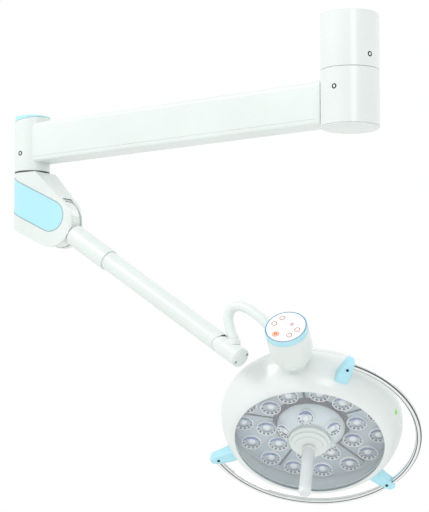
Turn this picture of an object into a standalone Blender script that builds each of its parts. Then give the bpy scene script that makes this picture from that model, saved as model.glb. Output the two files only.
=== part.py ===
"""Ceiling-hung operating light on a two-part arm, modelled as separate pieces.

World frame: the origin is the middle of the ceiling plate's top face, +Z is up, and at rest both
arms and the bent neck tube lie in the plane Y = 0, with the horizontal arm along -X.
Every dimension below is in millimetres; the objects are built in metres.
"""
from math import asin, cos, pi, radians, sin

import bmesh
import bpy
from mathutils import Matrix, Vector

MM = 0.001
GAP = 0.3                      # clearance between pieces that touch
WELD = 5e-6                    # metres; points closer than this are one point

# Ceiling column
COLUMN_R = 65.0
COLUMN_WALL = 3.0
COVER_BOTTOM = -124.5          # lower edge of the fixed cover
HUB_TOP = -125.3
HUB_BOTTOM = -249.7
CAP_BOTTOM = -256.0
SPINDLE_R = 22.0
SPINDLE_BORE = 15.0
SPINDLE_END = -244.0
HUB_SEAT_R = SPINDLE_R + GAP   # bore of the hub's two bearing flanges

# Horizontal arm
ARM_LENGTH = 945.0             # swivel axis to swivel axis
ARM_TOP = -143.5
ARM_BOTTOM = -241.5
ARM_WIDTH = 64.0
ARM_WALL = 3.5
ARM_START = -72.3
END_R = 43.5
END_WALL = 4.0
END_TOP = -127.0
END_BOTTOM = -262.5
END_CAP_LEFT = -141.6          # the cap's slanted joint, at the outer side of the end cylinder
END_CAP_RIGHT = -128.0         # and at the arm side
END_CAP_CROWN = 6.0
KNUCKLE_SHAFT_R = 16.0

# Knuckle
PIVOT = (-856.0, -394.0)       # X and Z of the spring arm's hinge
KNUCKLE_TOP = -266.6
KNUCKLE_R = 60.0               # round end of the cheeks
KNUCKLE_HEEL = (-963.5, -378.5, 25.0)
KNUCKLE_NOSE = (-806.0, 15.0, 10.0)
COVER_WALL = 3.0
TRIM_R = 37.5
TRIM_CENTRE = (-856.0, -379.0)
TRIM_SLOPE = radians(27.0)
SLOT_HALF = 17.2               # half width of the fork's slot
AXLE_R = 9.0

# Spring arm, measured from its hinge along the tube
ARM_DIP = radians(32.2)
HEAD_R = 57.5
HEAD_HALF = 16.8
SLEEVE_START = 62.5
SLEEVE_END = 191.0
SLEEVE_R = 26.0
TUBE_START = 100.0
TUBE_R = 23.0
TUBE_BORE = 20.5
TUBE_END = 562.0
LEVEL_PIVOT = 604.0
END_FACE = 657.0
TONGUE_HALF = 7.0
TONGUE_R = 7.4
END_AXLE_R = 4.0
LEVEL_SWING = radians(31.0)    # how far the tongue turns in the end block, each way

# Neck tube and its swivel
SWIVEL = (-322.0, -712.0)      # X of the vertical axis, and Z of the collar's seat
SPIGOT_R = 8.0
COLLAR_R = 16.0
NECK_R = 11.7
NECK_BORE = 8.4
TILT_POINT = (-170.0, -700.0)  # where the tilt axis meets the pod's own axis
NECK_DIP = radians(25.0)
NECK_END = -34.0               # end of the tube along the tilt axis

# Control pod, along its own axis from the tilt axis
POD_TILT = radians(45.0)
POD_R = 48.5
POD_WALL = 3.0
PANEL_FACE = 30.0
PANEL_BACK = 27.0
PANEL_R = 46.0
RING_BOTTOM = 10.3
POD_FOOT = -82.7
BUTTON_R = 8.2
BUTTON_CIRCLE = 29.0
BUTTON_PROUD = 0.9
BUTTON_ANGLES = {
    "button_power": -100.0,
    "button_brighter": -167.0,
    "button_dimmer": 147.0,
    "button_endo": -33.0,
    "button_colour": 13.0,
}

# Lamp head; its Z axis is the light's axis, and Z = 0 is the plane that holds the pod's axis
HEAD_TURN = radians(37.0)
POD_TO_HEAD = 298.0
OPENING_Z = 53.0
HEAD_OUTLINE = [(205.0, -45.0), (210.0, -25.0), (207.0, 0.0), (200.0, 23.0), (188.0, 45.0),
                (173.0, OPENING_Z)]
HEAD_INSIDE = [(173.0, 49.0), (186.0, 42.0), (197.0, 22.0), (204.0, 0.0), (207.0, -25.0),
               (202.0, -45.0)]
BACK_OUTLINE = [(205.0, -45.5), (196.0, -63.0), (180.0, -74.0), (140.0, -81.0), (0.0, -85.0)]
BACK_INSIDE = [(0.0, -82.0), (139.0, -78.0), (178.0, -71.3), (193.0, -61.0), (202.0, -45.5)]
COLLAR_NECK_R = 25.0
HEAD_SPINDLE_R = 12.0
LENS_FRONT = -4.0
LENS_BACK = -22.0
LENS_R = 24.5
LENS_BACK_R = 15.0
LENS_PLACES = [(158.0, -25.0), (158.0, 0.0), (158.0, 25.0), (106.0, -16.0), (106.0, 16.0)]
SECTORS = 5
SECTOR_INNER = 84.0
SECTOR_OUTER = 181.0
SECTOR_GAP = 3.0
HANDLE_R = 14.5
HANDLE_START = 69.0
HANDLE_END = 204.0
RAIL_R = 248.0
RAIL_TUBE = 7.0
RAIL_Z = 17.0
BRACKET_ANGLES = [-30.0, -141.5, -253.0]
BRACKET_OUTER = 262.0

COLOURS = {
    "white": ((0.80, 0.82, 0.80), 0.38, 0.0),
    "cover_white": ((0.84, 0.86, 0.85), 0.42, 0.0),
    "pale_blue": ((0.45, 0.74, 0.82), 0.35, 0.0),
    "steel": ((0.62, 0.62, 0.62), 0.32, 1.0),
    "chrome": ((0.80, 0.80, 0.80), 0.10, 1.0),
    "dark": ((0.03, 0.03, 0.03), 0.55, 0.0),
    "bronze": ((0.55, 0.38, 0.20), 0.40, 1.0),
    "aluminium": ((0.72, 0.73, 0.74), 0.45, 1.0),
    "clear": ((0.88, 0.95, 0.96), 0.08, 0.0),
    "lens": ((0.86, 0.90, 0.94), 0.12, 0.0),
    "circuit": ((0.05, 0.22, 0.12), 0.50, 0.0),
    "orange": ((0.78, 0.25, 0.08), 0.45, 0.0),
    "panel": ((0.86, 0.90, 0.89), 0.40, 0.0),
}


# ---------------------------------------------------------------- scene and materials

def clear_scene():
    for old in list(bpy.data.objects):
        bpy.data.objects.remove(old, do_unlink=True)


def make_material(name):
    colour, roughness, metallic = COLOURS[name]
    material = bpy.data.materials.new(name)
    material.use_nodes = True
    shader = material.node_tree.nodes["Principled BSDF"]
    shader.inputs["Base Color"].default_value = (*colour, 1.0)
    shader.inputs["Roughness"].default_value = roughness
    shader.inputs["Metallic"].default_value = metallic
    return material


def frame_empty(name, matrix, parent=None):
    """An empty whose origin lies on the joint axis that it stands for."""
    empty = bpy.data.objects.new(name, None)
    bpy.context.collection.objects.link(empty)
    empty.empty_display_size = 0.05
    empty.parent = parent
    empty.matrix_local = matrix
    return empty


def place(x, y, z):
    return Matrix.Translation(Vector((x, y, z)) * MM)


# ---------------------------------------------------------------- mesh tools

def finish_mesh(mesh, name, colour=None, parent=None, smooth=30.0):
    """Close off a bmesh as a named object with its own material."""
    bmesh.ops.remove_doubles(mesh, verts=mesh.verts, dist=1e-6)
    bmesh.ops.recalc_face_normals(mesh, faces=mesh.faces)
    data = bpy.data.meshes.new(name)
    mesh.to_mesh(data)
    mesh.free()
    if smooth:
        data.shade_smooth()
        data.set_sharp_from_angle(angle=radians(smooth))
    item = bpy.data.objects.new(name, data)
    bpy.context.collection.objects.link(item)
    item.parent = parent
    if colour:
        data.materials.append(make_material(colour))
    return item


def lathe(name, outline, colour=None, parent=None, steps=24, axis="Z", centre=(0, 0, 0)):
    """Spin (radius, height) points round an axis; points at radius 0 close the shape there."""
    mesh = bmesh.new()
    points = [mesh.verts.new((r * MM, 0.0, z * MM)) for r, z in outline]
    edges = [mesh.edges.new(points[i:i + 2]) for i in range(len(points) - 1)
             if outline[i][0] > 0.0 or outline[i + 1][0] > 0.0]
    if outline[0][0] > 0.0 or outline[-1][0] > 0.0:
        edges.append(mesh.edges.new((points[-1], points[0])))
    bmesh.ops.spin(mesh, geom=points + edges, axis=(0, 0, 1), cent=(0, 0, 0),
                   angle=2 * pi, steps=steps, use_merge=True)
    bmesh.ops.remove_doubles(mesh, verts=mesh.verts, dist=1e-6)
    turn = {"Z": Matrix.Identity(4),
            "X": Matrix.Rotation(pi / 2, 4, "Y"),
            "Y": Matrix.Rotation(-pi / 2, 4, "X")}[axis]
    bmesh.ops.transform(mesh, matrix=place(*centre) @ turn, verts=mesh.verts)
    return finish_mesh(mesh, name, colour, parent)


def rod(name, radius, start, end, colour=None, parent=None, steps=16, axis="Z", centre=(0, 0, 0)):
    """A plain round bar."""
    outline = [(0, start), (radius, start), (radius, end), (0, end)]
    return lathe(name, outline, colour, parent, steps, axis, centre)


def pipe(name, outer, inner, start, end, colour=None, parent=None, steps=24, axis="Z",
         centre=(0, 0, 0)):
    """A round tube or ring."""
    outline = [(outer, start), (outer, end), (inner, end), (inner, start)]
    return lathe(name, outline, colour, parent, steps, axis, centre)


def prism(name, outline, low, high, colour=None, parent=None, axis="Z"):
    """Extrude a flat outline; axis Y takes (x, z) points, Z takes (x, y) and X takes (y, z)."""
    lift = {"Z": lambda a, b, h: (a, b, h),
            "Y": lambda a, b, h: (a, h, b),
            "X": lambda a, b, h: (h, a, b)}[axis]
    mesh = bmesh.new()
    base = [mesh.verts.new(Vector(lift(a, b, low)) * MM) for a, b in outline]
    face = mesh.faces.new(base)
    swept = bmesh.ops.extrude_face_region(mesh, geom=[face])
    moved = [v for v in swept["geom"] if isinstance(v, bmesh.types.BMVert)]
    bmesh.ops.translate(mesh, vec=Vector(lift(0, 0, high - low)) * MM, verts=moved)
    return finish_mesh(mesh, name, colour, parent)


def box(name, low, high, colour=None, parent=None):
    corners = [(low[0], low[1]), (high[0], low[1]), (high[0], high[1]), (low[0], high[1])]
    return prism(name, corners, low[2], high[2], colour, parent)


def combine(target, tool, operation):
    """Boolean the target with a tool given in the target's own frame, then drop the tool."""
    tool.parent = target.parent
    tool.hide_render = True
    tool.display_type = "WIRE"
    step = target.modifiers.new("combine", "BOOLEAN")
    step.operation = operation
    step.solver = "EXACT"
    step.object = tool
    bpy.context.view_layer.update()
    graph = bpy.context.evaluated_depsgraph_get()
    result = bpy.data.meshes.new_from_object(target.evaluated_get(graph))
    target.modifiers.remove(step)
    mesh = bmesh.new()
    mesh.from_mesh(result)
    bmesh.ops.remove_doubles(mesh, verts=mesh.verts, dist=WELD)
    bmesh.ops.dissolve_limit(mesh, angle_limit=radians(0.2), verts=mesh.verts, edges=mesh.edges)
    bmesh.ops.triangulate(mesh, faces=mesh.faces)
    mesh.to_mesh(result)
    mesh.free()
    old = target.data
    result.name = old.name
    target.data = result
    bpy.data.objects.remove(tool, do_unlink=True)
    bpy.data.meshes.remove(old)
    target.data.shade_smooth()
    target.data.set_sharp_from_angle(angle=radians(30.0))
    return target


def cut(target, *tools):
    for tool in tools:
        combine(target, tool, "DIFFERENCE")
    return target


def join(target, *tools):
    for tool in tools:
        combine(target, tool, "UNION")
    return target


def overlap(target, *tools):
    for tool in tools:
        combine(target, tool, "INTERSECT")
    return target


def disc_points(x, y, radius, count=32):
    return [(x + radius * cos(2 * pi * i / count), y + radius * sin(2 * pi * i / count))
            for i in range(count)]


def hull(points):
    """Convex outline round a set of flat points."""
    ordered = sorted(set(points))

    def half(sequence):
        chain = []
        for p in sequence:
            while len(chain) > 1:
                (ax, ay), (bx, by) = chain[-2], chain[-1]
                if (bx - ax) * (p[1] - ay) - (by - ay) * (p[0] - ax) > 1e-6:
                    break
                chain.pop()
            chain.append(p)
        return chain[:-1]

    return half(ordered) + half(reversed(ordered))


def rounded_rectangle(low, high, radius, count=24):
    (x0, y0), (x1, y1) = low, high
    corners = [(x, y) for x in (x0 + radius, x1 - radius) for y in (y0 + radius, y1 - radius)]
    return hull([p for x, y in corners for p in disc_points(x, y, radius, count)])


def smooth_path(points, per_span):
    """Catmull-Rom curve through flat points."""
    path = []
    last = len(points) - 1
    for i in range(last):
        p0, p1, p2, p3 = (Vector(points[max(0, min(last, i + k))]) for k in (-1, 0, 1, 2))
        for step in range(per_span):
            t = step / per_span
            path.append(0.5 * (2 * p1 + (p2 - p0) * t + (2 * p0 - 5 * p1 + 4 * p2 - p3) * t ** 2
                               + (3 * p1 - p0 - 3 * p2 + p3) * t ** 3))
    path.append(Vector(points[-1]))
    return path


def sweep(name, path, rings, colour=None, parent=None, sides=14):
    """Sweep one round section, or a ring of two radii, along a path of 3-D points."""
    mesh = bmesh.new()
    path = [Vector(p) * MM for p in path]
    tangents = [(path[min(i + 1, len(path) - 1)] - path[max(i - 1, 0)]).normalized()
                for i in range(len(path))]
    normal = tangents[0].orthogonal()
    shells = [[] for _ in rings]
    for point, tangent in zip(path, tangents):
        normal = (normal - tangent * normal.dot(tangent)).normalized()
        side = tangent.cross(normal)
        for shell, radius in zip(shells, rings):
            shell.append([mesh.verts.new(point + (normal * cos(2 * pi * k / sides)
                                                  + side * sin(2 * pi * k / sides)) * radius * MM)
                          for k in range(sides)])
    for shell in shells:
        for low, high in zip(shell, shell[1:]):
            for k in range(sides):
                mesh.faces.new((low[k], low[k - 1], high[k - 1], high[k]))
    for end in (0, -1):
        if len(rings) == 1:
            mesh.faces.new(shells[0][end])
            continue
        for k in range(sides):
            mesh.faces.new((shells[0][end][k], shells[0][end][k - 1],
                            shells[1][end][k - 1], shells[1][end][k]))
    return finish_mesh(mesh, name, colour, parent)


# ---------------------------------------------------------------- ceiling column

def ceiling_column():
    plate = rod("ceiling_plate", 60.0, -8.0, 0.0, "steel", steps=22)
    for k in range(4):
        angle = radians(45 + 90 * k)
        spot = (45 * cos(angle), 45 * sin(angle), 0)
        cut(plate, rod("bolt_hole", 4.5, -12.0, 4.0, steps=16, centre=spot))

    join(plate, pipe("socket", SPINDLE_R + 10, SPINDLE_R + GAP, -30, -4))
    rest = -223.0 - GAP
    lathe("ceiling_spindle", [(SPINDLE_R, -8.3), (SPINDLE_R, rest), (33, rest), (33, rest - 12),
                              (SPINDLE_R, SPINDLE_END), (SPINDLE_BORE, SPINDLE_END),
                              (SPINDLE_BORE, -8.3)], "steel")
    inner = COLUMN_R - COLUMN_WALL
    lathe("upper_cover", [(COLUMN_R, -0.3), (COLUMN_R, COVER_BOTTOM), (23, COVER_BOTTOM),
                          (23, -121.5), (inner, -121.5), (inner, -0.3)], "white", steps=24)


def side_screw(name, angle, centre, radius, body, parent=None):
    """A dark screw set into the wall of a vertical cylinder, with its hole in that wall."""
    spin = Matrix.Rotation(angle, 4, "Z")
    hole = rod("hole", 3.5, radius - 8, radius + 4, steps=10, axis="X")
    seat = rod("seat", 6.3, radius - 1.2, radius + 4, steps=12, axis="X")
    screw = lathe(name, [(0, radius - 7), (3, radius - 7), (3, radius - 0.9), (6, radius - 0.9),
                         (6, radius + 0.4), (0, radius + 0.4)], "dark", steps=12, axis="X")
    screw.parent = parent
    for item in (hole, seat, screw):
        item.data.transform(place(*centre) @ spin)
    cut(body, hole, seat)
    return screw


# ---------------------------------------------------------------- hub and horizontal arm

def hub(parent):
    inner = COLUMN_R - COLUMN_WALL
    housing = lathe("hub_housing", [
        (COLUMN_R, HUB_TOP), (COLUMN_R, HUB_BOTTOM), (inner, HUB_BOTTOM), (inner, -223),
        (HUB_SEAT_R, -223), (HUB_SEAT_R, -214), (inner, -214), (inner, -135),
        (HUB_SEAT_R, -135), (HUB_SEAT_R, HUB_TOP)], "white", parent, steps=24)
    side_screw("hub_screw", radians(-88), (0, 0, -169), COLUMN_R, housing, parent)
    lathe("hub_bottom_cap", [(0, CAP_BOTTOM), (57, CAP_BOTTOM), (62, CAP_BOTTOM + 1.5),
                             (COLUMN_R, CAP_BOTTOM + 5), (COLUMN_R, HUB_BOTTOM - GAP),
                             (inner - GAP, HUB_BOTTOM - GAP), (inner - GAP, HUB_BOTTOM + 6),
                             (58, HUB_BOTTOM + 6), (58, CAP_BOTTOM + 3), (0, CAP_BOTTOM + 3)],
          "white", parent, steps=24)
    half = ARM_WIDTH / 2 + 1.5
    flange = prism("arm_flange", rounded_rectangle((-half, ARM_BOTTOM - 1.5), (half, ARM_TOP + 1.5),
                                                   12), -72, -40, "dark", parent, "X")
    cut(flange, rod("hub_round", COLUMN_R + GAP, -300, -100, steps=24))


def slanted_half(name, drop, top, side):
    """A block whose lower face follows the end cap's slanted joint, lowered by drop."""
    reach = 60.0
    rise = (END_CAP_RIGHT - END_CAP_LEFT) / (2 * END_R)
    left = END_CAP_LEFT - rise * (reach - END_R) - drop
    right = END_CAP_RIGHT + rise * (reach - END_R) - drop
    x = -ARM_LENGTH
    return prism(name, [(x - reach, left), (x + reach, right), (x + reach, top), (x - reach, top)],
                 -side, side, axis="Y")


def horizontal_arm(parent):
    x = -ARM_LENGTH
    half = ARM_WIDTH / 2
    arm = prism("horizontal_arm", rounded_rectangle((-half, ARM_BOTTOM), (half, ARM_TOP), 12),
                x + 7, ARM_START, "cover_white", parent, "X")
    join(arm, rod("end_round", END_R, END_BOTTOM, END_TOP, steps=22, centre=(x, 0, 0)))
    wall = ARM_WALL
    cut(arm,
        prism("bore", rounded_rectangle((-half + wall, ARM_BOTTOM + wall),
                                        (half - wall, ARM_TOP - wall), 9),
              x + END_R - 6.3, ARM_START + 5, axis="X"),
        rod("end_space", END_R - END_WALL, -257.0, -171.0, steps=24, centre=(x, 0, 0)),
        rod("end_top_space", END_R - END_WALL, -165.0, -100.0, steps=24, centre=(x, 0, 0)),
        rod("seat", KNUCKLE_SHAFT_R + GAP, -280.0, -150.0, steps=24, centre=(x, 0, 0)),
        slanted_half("cap_room", GAP, -90, 60))
    side_screw("arm_end_screw", radians(-90), (x, 0, -219), END_R, arm, parent)
    crown = END_TOP + END_CAP_CROWN
    cap = lathe("arm_end_cap", [(0, -160), (END_R, -160), (END_R, END_TOP - 1.5),
                                (END_R - 2, END_TOP + 1.0), (28, crown - 2), (12, crown - 0.3),
                                (0, crown)], "pale_blue", parent, 28, centre=(x, 0, 0))
    overlap(cap, slanted_half("above", 0.0, -90, 60))
    cut(cap, rod("hollow", END_R - END_WALL, -180, -132.0, steps=24, centre=(x, 0, 0)))


# ---------------------------------------------------------------- knuckle

def knuckle_shape(name, inset):
    """Outer form of the knuckle, or the same form shrunk by inset; world X and Z."""
    x = -ARM_LENGTH
    nose_x, nose_y, nose_r = KNUCKLE_NOSE
    plan = hull(disc_points(x, 0, END_R - inset, 24)
                + disc_points(nose_x, nose_y, nose_r - inset, 12)
                + disc_points(nose_x, -nose_y, nose_r - inset, 12))
    heel_x, heel_z, heel_r = KNUCKLE_HEEL
    top = KNUCKLE_TOP - inset
    side = hull([(x - END_R + inset, top), (x + END_R - inset, top)]
                + disc_points(*PIVOT, KNUCKLE_R - inset, 24)
                + disc_points(heel_x, heel_z, heel_r - inset, 16))
    body = prism(name, plan, -470, top + 20)
    return overlap(body, prism("side", side, -60, 60, axis="Y"))


def trim_prism(name, grow):
    """The long round-ended patch that the blue trim covers, seen from the side."""
    x, z = TRIM_CENTRE
    reach = 170.0
    far = (x - reach * cos(TRIM_SLOPE), z + reach * sin(TRIM_SLOPE))
    outline = hull(disc_points(x, z, TRIM_R + grow, 24) + disc_points(*far, TRIM_R + grow, 24))
    return prism(name, outline, -60, 60, axis="Y")


def fork_slot(name, radius):
    """The space in the middle of the knuckle for the spring arm's head."""
    x, z = PIVOT
    return rod(name, radius, -SLOT_HALF, SLOT_HALF, steps=24, axis="Y", centre=(x, 0, z))


def paint(item, colour):
    item.data.materials.clear()
    item.data.materials.append(make_material(colour))


def knuckle(parent):
    x = -ARM_LENGTH
    lathe("knuckle_spindle", [(0, -156), (22, -156), (22, -164.7), (KNUCKLE_SHAFT_R, -164.7),
                              (KNUCKLE_SHAFT_R, -325), (0, -325)], "steel", None, 24,
          centre=(x, 0, 0))
    pipe("knuckle_washer", END_R - 1.0, KNUCKLE_SHAFT_R + GAP, END_BOTTOM - 3.7, END_BOTTOM - GAP,
         "dark", None, 28, centre=(x, 0, 0))

    body = knuckle_shape("knuckle_body", COVER_WALL + GAP)
    join(body, rod("boss", 24.0, -300, KNUCKLE_TOP - GAP, steps=24, centre=(x, 0, 0)))
    cut(body,
        rod("shaft_room", KNUCKLE_SHAFT_R + GAP, -325 - GAP, -200, steps=24, centre=(x, 0, 0)),
        fork_slot("slot", HEAD_R + 1.0),
        rod("axle_room", AXLE_R + GAP, -70, 70, steps=16, axis="Y",
            centre=(PIVOT[0], 0, PIVOT[1])))
    paint(body, "aluminium")

    for name, near in (("front_cover", -1), ("rear_cover", 1)):
        cover = knuckle_shape(name, 0.0)
        low, high = sorted((near * 0.15, near * 90.0))
        overlap(cover, box("half", (-1100, low, -500), (-700, high, -200)))
        cut(cover,
            knuckle_shape("core", COVER_WALL),
            rod("boss_room", 24.0 + GAP, -320, -200, steps=24, centre=(x, 0, 0)),
            fork_slot("slot", KNUCKLE_R + 4.0),
            trim_prism("window", GAP))
        paint(cover, "cover_white")

    trim = knuckle_shape("knuckle_trim", 0.0)
    overlap(trim, trim_prism("patch", 0.0))
    cut(trim, knuckle_shape("core", COVER_WALL - 0.2), fork_slot("slot", KNUCKLE_R + 4.0))
    paint(trim, "pale_blue")

    half = 27.0
    rod("pivot_axle", AXLE_R, -half, half, "steel", None, 20, "Y", (PIVOT[0], 0, PIVOT[1]))
    for name in ("knuckle_spindle", "knuckle_washer", "knuckle_body", "front_cover", "rear_cover",
                 "knuckle_trim", "pivot_axle"):
        adopt(bpy.data.objects[name], parent)


def adopt(item, parent):
    """Hang an object that was modelled in the world frame under an empty."""
    item.parent = parent
    item.matrix_parent_inverse = parent.matrix_world.inverted()


# ---------------------------------------------------------------- spring arm

def spring_arm(parent):
    head = lathe("arm_head", [(AXLE_R + GAP, -HEAD_HALF), (HEAD_R - 4, -HEAD_HALF),
                              (HEAD_R, -HEAD_HALF + 4), (HEAD_R, HEAD_HALF - 4),
                              (HEAD_R - 4, HEAD_HALF), (AXLE_R + GAP, HEAD_HALF)],
                 "cover_white", parent, 24, "Y")
    join(head, box("neck", (30, -15.5, -15.5), (80, 15.5, 15.5)),
         rod("plug", TUBE_R - 0.2, SLEEVE_START + 0.5, TUBE_START - GAP, steps=22, axis="X"))

    pipe("arm_sleeve", SLEEVE_R, TUBE_R + GAP, SLEEVE_START, SLEEVE_END, "cover_white", parent,
         24, "X")
    pipe("arm_tube", TUBE_R, TUBE_BORE, TUBE_START, LEVEL_PIVOT - 18.0, "cover_white", parent, 24,
         "X")
    cut(bpy.data.objects["arm_tube"],
        rod("knuckle_round", TUBE_R + 0.6, -40, 40, steps=24, axis="Y", centre=(LEVEL_PIVOT, 0, 0)))

    turns = 14
    per_turn = 6
    start, end = 130.0, 470.0
    coil_r, coil_z = 9.5, 7.0
    coil = [(start + (end - start) * i / (turns * per_turn),
             coil_r * sin(2 * pi * i / per_turn), coil_z + coil_r * cos(2 * pi * i / per_turn))
            for i in range(turns * per_turn + 1)]
    sweep("balance_spring", coil, [2.0], "steel", parent, sides=4)
    lathe("spring_rod", [(0, 112), (6, 112), (6, 118), (4, 118), (4, 474), (12, 474), (12, 480),
                         (0, 480)], "steel", parent, 12, "X", (0, 0, coil_z))
    prism("levelling_rod", rounded_rectangle((-5, -17.5), (5, -12.5), 2, 8), 108, 555, "steel",
          parent, "X")

    fitting = rod("end_fitting", TUBE_BORE - GAP, TUBE_END, LEVEL_PIVOT - TUBE_R - 3.0,
                  "aluminium", parent, 28, "X")
    join(fitting, prism("tongue", hull([(TUBE_END + 10, -TONGUE_R), (TUBE_END + 10, TONGUE_R)]
                                       + disc_points(LEVEL_PIVOT, 0, TONGUE_R, 24)),
                        -TONGUE_HALF, TONGUE_HALF, axis="Y"))
    cut(fitting, rod("axle_room", END_AXLE_R + GAP, -30, 30, steps=16, axis="Y",
                     centre=(LEVEL_PIVOT, 0, 0)))
    rod("end_axle", END_AXLE_R, -21.5, 21.5, "steel", parent, 16, "Y", (LEVEL_PIVOT, 0, 0))


def end_block(parent, upright):
    """The levelling block, in a frame at its own pivot; upright turns its Z back to the world's."""
    reach = END_FACE - LEVEL_PIVOT
    block = rod("end_block", TUBE_R, -30, reach - 3.6, "cover_white", parent, 24, "X")
    keep = rod("round_back", TUBE_R, -40, 40, steps=24, axis="Y")
    join(keep, box("front", (0, -40, -40), (reach + 10, 40, 40)))
    overlap(block, keep)
    room = TONGUE_R + 0.6
    far = (room * sin(LEVEL_SWING) - 60 * cos(LEVEL_SWING),
           room * cos(LEVEL_SWING) + 60 * sin(LEVEL_SWING))
    slot = prism("slot", hull([far, (far[0], -far[1])] + disc_points(0, 0, room, 24)),
                 -TONGUE_HALF - GAP, TONGUE_HALF + GAP, axis="Y")
    cut(block, slot, rod("axle_room", END_AXLE_R + GAP, -30, 30, steps=16, axis="Y"))

    seat = SWIVEL[1]
    swivel = upright @ place(SWIVEL[0], 0, 0)
    tools = (rod("bore", SPIGOT_R + GAP, seat - 28.0, 0, steps=24),
             rod("collar_room", COLLAR_R + 0.5, seat - GAP, 0, steps=24))
    for tool in tools:
        tool.data.transform(swivel)
    cut(block, *tools)

    cap = lathe("end_cap", [(0, reach - 3.3), (TUBE_R, reach - 3.3), (TUBE_R, reach - 2),
                            (TUBE_R - 2, reach), (0, reach)], "cover_white", parent, 24, "X")
    for side in (-1, 1):
        cut(cap, rod("hole", 3.0, reach - 10, reach + 5, steps=14, axis="X",
                     centre=(0, side * 13.5, side * 11.0)))


# ---------------------------------------------------------------- neck tube

def neck(parent, tilt_matrix):
    """Swivel spigot and the bent tube, in a frame whose Z is the swivel's vertical axis."""
    origin_x, seat = SWIVEL
    lathe("swivel_spigot", [(0, -26), (SPIGOT_R, -26), (SPIGOT_R, 0), (COLLAR_R, 0),
                            (COLLAR_R, 10.5), (COLLAR_R - 1.5, 12), (NECK_R + GAP, 12),
                            (NECK_R + GAP, 3), (0, 3)], "cover_white", parent, 24)
    bends = [(-322.0, -708.7), (-322.0, -696.5), (-326.0, -688.0), (-332.0, -674.0),
             (-336.5, -655.0), (-333.5, -637.5), (-321.0, -627.5), (-303.0, -626.0),
             (-283.0, -632.0), (-262.5, -643.5), (-244.0, -656.5), (-230.5, -667.5)]
    axis = Vector((cos(NECK_DIP), -sin(NECK_DIP)))
    straight = [tuple(Vector(TILT_POINT) + axis * reach) for reach in (-52.0, NECK_END)]
    path = [(p.x - origin_x, 0.0, p.y - seat) for p in smooth_path(bends + straight, 1)]
    sweep("neck_tube", path, [NECK_R, NECK_BORE], "cover_white", parent, sides=12)
    spindle = lathe("tilt_spindle", [(0, NECK_END - 15), (SPIGOT_R, NECK_END - 15),
                                     (SPIGOT_R, 20.4), (12, 20.4), (12, 26), (0, 26)],
                    "steel", None, 20, "X")
    spindle.data.transform(tilt_matrix)
    spindle.parent = parent


# ---------------------------------------------------------------- control pod

def control_pod(parent):
    """Frame: origin on the tilt axis (X), Z towards the control panel."""
    wall = POD_WALL
    housing = lathe("pod_housing", [
        (POD_R, RING_BOTTOM - GAP), (POD_R, -40), (45, -54), (40, -66), (28, POD_FOOT),
        (28 - wall, POD_FOOT), (40 - wall, -66), (45 - wall, -54), (POD_R - wall, -40),
        (POD_R - wall, RING_BOTTOM - GAP)], "cover_white", parent, 22)
    room = NECK_R + 0.8
    cut(housing, rod("neck_hole", room, -60, -20, steps=24, axis="X"))
    lip = PANEL_R + GAP
    ring = lathe("pod_ring", [(POD_R, RING_BOTTOM), (POD_R, PANEL_FACE - 1.2), (lip, PANEL_FACE - 1.2),
                       (lip, PANEL_BACK - GAP), (lip - 2, PANEL_BACK - GAP),
                       (lip - 2, RING_BOTTOM)], "pale_blue", parent, 22)
    cut(ring, rod("neck_hole", room, -60, -20, steps=24, axis="X"))

    panel = rod("control_panel", PANEL_R, PANEL_BACK, PANEL_FACE, "panel", parent, 22)
    places = {name: (BUTTON_CIRCLE * cos(radians(angle)), BUTTON_CIRCLE * sin(radians(angle)), 0)
              for name, angle in BUTTON_ANGLES.items()}
    for spot in places.values():
        cut(panel, rod("hole", BUTTON_R + 0.5, 20, 40, steps=16, centre=spot))
    block = box("tilt_block", (-30, -33, -14), (20, 33, 9.5), "aluminium", parent)
    cut(block, rod("bore", SPIGOT_R + GAP, -60, 60, steps=16, axis="X"))
    lathe("turn_bearing", [(38.2, -62), (41.1, -55), (HEAD_SPINDLE_R + GAP, -55),
                           (HEAD_SPINDLE_R + GAP, -62)], "bronze", parent, 22)
    return places


def button(name, colour, parent):
    """A push button in a frame at its own middle; Z = 0 is the panel's face."""
    lathe(name, [(0, -11.2), (3, -11.2), (3, -6.2), (BUTTON_R + 1.2, -6.2),
                 (BUTTON_R + 1.2, -4.6), (BUTTON_R, -4.6), (BUTTON_R, BUTTON_PROUD - 0.4),
                 (BUTTON_R - 0.6, BUTTON_PROUD), (0, BUTTON_PROUD)], colour, parent, 14)


# ---------------------------------------------------------------- lamp head

def head_shells(parent):
    front = lathe("front_housing", HEAD_OUTLINE + HEAD_INSIDE, "white", parent, 24)
    spindle_axis = {"axis": "X", "steps": 24}
    cut(front, rod("spindle_hole", HEAD_SPINDLE_R + 3, 150, 260, **spindle_axis))
    lathe("back_cover", BACK_OUTLINE + BACK_INSIDE, "white", parent, 24)
    pipe("clear_cover", 176.0, 50.5, 42.6, 45.2, "clear", parent, 24)

    collar = pipe("neck_collar", COLLAR_NECK_R, HEAD_SPINDLE_R + GAP, 192, 214.9, "dark", parent,
                  28, "X")
    swell = 0.5
    cut(collar, lathe("head_form", [(0, -44)] + [(r + swell, z) for r, z in HEAD_OUTLINE]
                      + [(0, OPENING_Z)], steps=24))
    lathe("head_spindle", [(0, 183.5), (16, 183.5), (16, 188), (HEAD_SPINDLE_R, 188),
                           (HEAD_SPINDLE_R, 243.4), (18, 243.4), (18, 249), (0, 249)],
          "steel", parent, **spindle_axis)


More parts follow.
